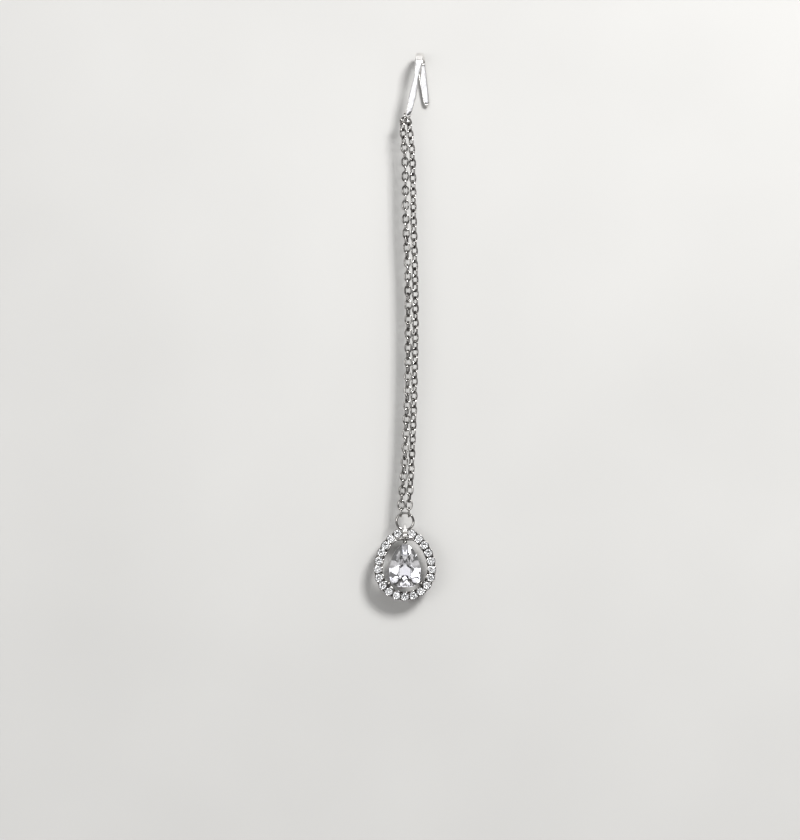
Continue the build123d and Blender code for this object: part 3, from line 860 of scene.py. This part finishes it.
def faceted(outline, table, crown, girdle, pavilion, keel=(0.0, 0.0), star=0.5, lower=0.78):
    """A brilliant cut from rings of corners, eight mains round, its girdle's back on the XZ plane.

    outline(turn) gives x and z on the girdle. The rings are, from the front: the table's middle and
    its eight corners, eight star tips a half step on, 32 corners at the girdle's front and back, eight
    lower tips near the point, and the point. Star tips stand a share of the way from the table to the
    girdle, and lower tips a share of the way to the point, both a little proud of the straight line.
    The point may be drawn out into a keel between two heights, whose top serves the three top mains.
    """
    main = np.arange(8) * pi / 4
    half = main + pi / 8
    fine = np.arange(32) * pi / 16

    def ring(turn, size, y):
        """The outline's points at a share of their distance from Y."""
        x, z = outline(turn)
        return np.stack([size * x, np.full(len(x), y), size * z], -1)

    front = -girdle - crown
    star_size = table + (1 - table) * star
    star_y = front + crown * star * STAR_SWELL
    keel_ends = np.array([[0.0, pavilion, height] for height in sorted(set(keel))])
    is_top = np.isin(np.arange(8), (7, 0, 1)) & (keel[0] < keel[1])
    tips = keel_ends[is_top.astype(int)]
    low = ring(half, 1.0, 0.0) * (1 - lower) + (tips + np.roll(tips, -1, 0)) / 2 * lower
    low[:, 1] *= LOWER_SWELL
    rings = [[[0, front, 0]], ring(main, table, front), ring(half, star_size, star_y),
             ring(fine, 1.0, -girdle), ring(fine, 1.0, 0.0), low, keel_ends]
    points = np.vstack(rings)

    # Each ring's corner numbers, then the faces round the eight mains and the 32 girdle corners.
    numbers = np.split(np.arange(len(points)), np.cumsum([len(corners) for corners in rings])[:-1])
    middle, tables, stars, fronts, backs, lowers, keels = numbers
    tip = keels[is_top.astype(int)]
    none = np.full(8, -1)
    faces = [
        np.stack([np.repeat(middle, 8), tables, np.roll(tables, -1), none], -1),
        np.stack([tables, stars, np.roll(tables, -1), none], -1),
        np.stack([tables, np.roll(stars, 1), fronts[::4], stars], -1),
        np.stack([backs[::4], np.roll(lowers, 1), tip, lowers], -1),
        np.stack([lowers, tip, np.roll(tip, -1), none], -1)[tip != np.roll(tip, -1)],
    ]
    next_fronts, next_backs = np.roll(fronts, -1), np.roll(backs, -1)
    for part in range(4):
        faces.append(np.stack([stars, fronts[part::4], next_fronts[part::4], none], -1))
        faces.append(np.stack([lowers, next_backs[part::4], backs[part::4], none], -1))
    faces.append(np.stack([fronts, backs, next_backs, next_fronts], -1))
    return outward((points, np.vstack(faces)))


ROUND_CUT = {"table": 0.56, "crown": 0.27, "girdle": 0.04, "pavilion": 0.6}
ROUND_RADIUS = HALO_STONE / 2 - 0.015
ROUND_SINK = 0.08
ROUND_TURN = 0.9
ROUND_TILT = 0.05
TILT_WAVE_X, TILT_WAVE_Z = 2.3, 1.7


def round_outline(turn):
    """A circle: radius times sine and cosine."""
    return ROUND_RADIUS * np.sin(turn), ROUND_RADIUS * np.cos(turn)


def halo_rounds():
    """The small round stones, facing forward.

    Each is turned on from its neighbour, and sine waves of its number tip it a little.
    """
    x, z = halo_line(HALO_SPACING * stone_steps, np.zeros(HALO_STONES))
    origins = np.stack([x, np.full(HALO_STONES, HALO_FRONT + ROUND_SINK), z], -1) + halo_middle
    turn = ROUND_TURN * stone_steps
    tip_x = ROUND_TILT * np.sin(TILT_WAVE_X * stone_steps)
    tip_z = ROUND_TILT * np.sin(TILT_WAVE_Z * stone_steps + 1)
    back = unit(np.stack([-tip_x, np.ones(HALO_STONES), -tip_z], -1))
    right = square_to(np.stack([np.cos(turn), tip_x, np.sin(turn)], -1), back)
    axes = np.stack([right, back, np.cross(right, back)], 1)
    make("halo_stones", repeated(faceted(round_outline, **ROUND_CUT), origins, axes), halo_zirconia,
         "pendant", smooth=False)


PEAR_CUT = {"table": 0.45, "crown": 0.95, "girdle": 0.18, "pavilion": 2.7, "keel": (-0.5, 3.0), "lower": 0.7}
PEAR_HALF_WIDTH = 3.75
PEAR_TIP = 6.6
PEAR_TIP_POWER = 4 / 3
PEAR_HEEL = 3.3
PEAR_HEEL_POWER = 1 / 1.3
PEAR_DROP = 0.7
PEAR_FORWARD = 1.15


def pear_outline(turn):
    """x is the half width times the sine, and z is the tip's height times a power of the cosine.

    Below the widest place z is the heel's depth times a lesser power of the cosine, and x has the same
    power of the sine.
    """
    across, up = np.sin(turn), np.cos(turn)
    heel_across = np.sign(across) * np.abs(across) ** PEAR_HEEL_POWER
    tip = PEAR_TIP * np.maximum(up, 0) ** PEAR_TIP_POWER
    heel = -PEAR_HEEL * np.abs(up) ** PEAR_HEEL_POWER
    return PEAR_HALF_WIDTH * np.where(up > 0, across, heel_across), np.where(up > 0, tip, heel)


def centre_stone():
    """The pear brilliant, its point up, held forward of the halo by the three prongs."""
    place = halo_middle + [0, -PEAR_FORWARD, -PEAR_DROP]
    make("centre_stone_pear", placed(faceted(pear_outline, **PEAR_CUT), place), pear_zirconia, "pendant",
         ["centre_stone"], smooth=False)


# ---- build the pieces ----------------------------------------------------------------------------

hair_hook()
chain_strand("chain_left_links", "chain_left", -1, radians(62), 56, (0.1, 0.06, 0.14), LEFT_WANDER,
             radians(-8), radians(-16))
chain_strand("chain_right_links", "chain_right", 1, radians(38), 55, (0.15, 0.14, 0.11), RIGHT_WANDER,
             radians(28), radians(10))
jump_ring()
halo_setting()
halo_rounds()
centre_stone()

# ---- stage, light and camera ---------------------------------------------------------------------

WALL_Y = 3.4
WALL_TOP = 500.0
FLOOR_BEND = 80.0
FLOOR_Z = -600.0
FLOOR_FRONT = -1500.0
BACKDROP_HALF_WIDTH = 700.0
BACKDROP_BEND_STEPS = 25
BACKDROP_COLUMNS = 9


def backdrop():
    """A pale sheet: a wall close behind the piece that curves into a floor, seen from the front only.

    Its profile in Y and Z is a straight wall, a quarter circle and a straight floor, the same all along X.
    """
    turn = np.linspace(0, pi / 2, BACKDROP_BEND_STEPS)
    bend_y = WALL_Y - FLOOR_BEND * (1 - np.cos(turn))
    bend_z = FLOOR_Z + FLOOR_BEND * (1 - np.sin(turn))
    profile = np.vstack([[WALL_Y, WALL_TOP], np.stack([bend_y, bend_z], -1), [FLOOR_FRONT, FLOOR_Z]])
    x = np.linspace(-BACKDROP_HALF_WIDTH, BACKDROP_HALF_WIDTH, BACKDROP_COLUMNS)
    points = np.zeros((len(profile), len(x), 3))
    points[..., 0] = x
    points[..., 1:] = profile[:, None]
    flat, faces = grid(points, close_columns=False)
    card = paper("matt_paper_backdrop", "#9A9997", "#A5A4A2")
    sheet = mesh_object("backdrop", (flat, faces[:, ::-1]), card)


# Place and size in metres, watts and colour.
SOFTBOXES = {
    "key_softbox": ((0.34, -0.7, 0.4), (0.24, 0.24), 13.5, "#FFFFFF"),
    "hook_softbox": ((0.0, -0.88, 0.27), (0.26, 0.6), 0.75, "#F8F9FF"),
    "upper_softbox": ((0.0, -0.65, 0.45), (1.0, 0.35), 1.3, "#FFFFFF"),
    "top_softbox": ((0.0, -0.2, 0.6), (0.7, 0.5), 1.3, "#FFFFFF"),
    "low_softbox": ((0.0, -0.85, -0.3), (0.9, 0.25), 1.3, "#FFFFFF"),
    "front_left_softbox": ((-0.35, -0.78, -0.03), (0.4, 0.2), 2.0, "#FFFFFF"),
    "left_softbox": ((-0.6, -0.6, -0.05), (0.35, 0.7), 0.9, "#FFFFFF"),
    "right_softbox": ((0.6, -0.6, 0.05), (0.35, 0.9), 1.15, "#FFFFFF"),
}
SOFTBOX_AIM = Vector((-0.003, -0.002, -0.06))


def softbox(name, place, size, watts, colour):
    """A rectangle of light that faces the jewel."""
    lamp = bpy.data.lights.new(name, "AREA")
    lamp.shape = "RECTANGLE"
    lamp.size, lamp.size_y = size
    lamp.energy = watts
    lamp.color = linear(colour)[:3]
    light = bpy.data.objects.new(name, lamp)
    bpy.context.scene.collection.objects.link(light)
    light.location = place
    light.rotation_euler = (SOFTBOX_AIM - Vector(place)).to_track_quat("-Z", "Y").to_euler()


def dim_room():
    """The room round the softboxes: pale where the camera looks past the backdrop, dim to the jewel."""
    world = bpy.data.worlds.new("dim_room")
    world.use_nodes = True
    tree = world.node_tree
    tree.nodes.clear()
    rays = node(tree, "ShaderNodeLightPath")
    seen = node(tree, "ShaderNodeBackground", {"Color": linear("#E4E4E4"), "Strength": 0.9})
    felt = node(tree, "ShaderNodeBackground", {"Color": linear("#B8BABD"), "Strength": 0.11})
    mix = node(tree, "ShaderNodeMixShader", i0=(rays, "Is Camera Ray"), i1=(felt, 0), i2=(seen, 0))
    node(tree, "ShaderNodeOutputWorld", Surface=(mix, 0))
    bpy.context.scene.world = world


def studio():
    """A small bright key above and to the right, broad soft lights round the camera, and a dim room."""
    for name, settings in SOFTBOXES.items():
        softbox(name, *settings)
    dim_room()


CAMERA_DISTANCE = 0.8
CAMERA_X = -0.00465
CAMERA_Z = -0.0848
VIEW_HEIGHT = 0.19535
SENSOR_MM = 36.0


def camera():
    """Square to the front of the chains, its lens the sensor times the distance over the view's height."""
    data = bpy.data.cameras.new("camera")
    data.sensor_width = SENSOR_MM
    data.lens = SENSOR_MM * CAMERA_DISTANCE / VIEW_HEIGHT
    data.clip_start, data.clip_end = 0.01, 10.0
    seer = bpy.data.objects.new("camera", data)
    bpy.context.scene.collection.objects.link(seer)
    seer.location = (CAMERA_X, CHAIN_Y * MM - CAMERA_DISTANCE, CAMERA_Z)
    seer.rotation_euler = (radians(90), 0, 0)
    bpy.context.scene.camera = seer


backdrop()
studio()
camera()
bpy.context.scene.view_settings.view_transform = "Standard"
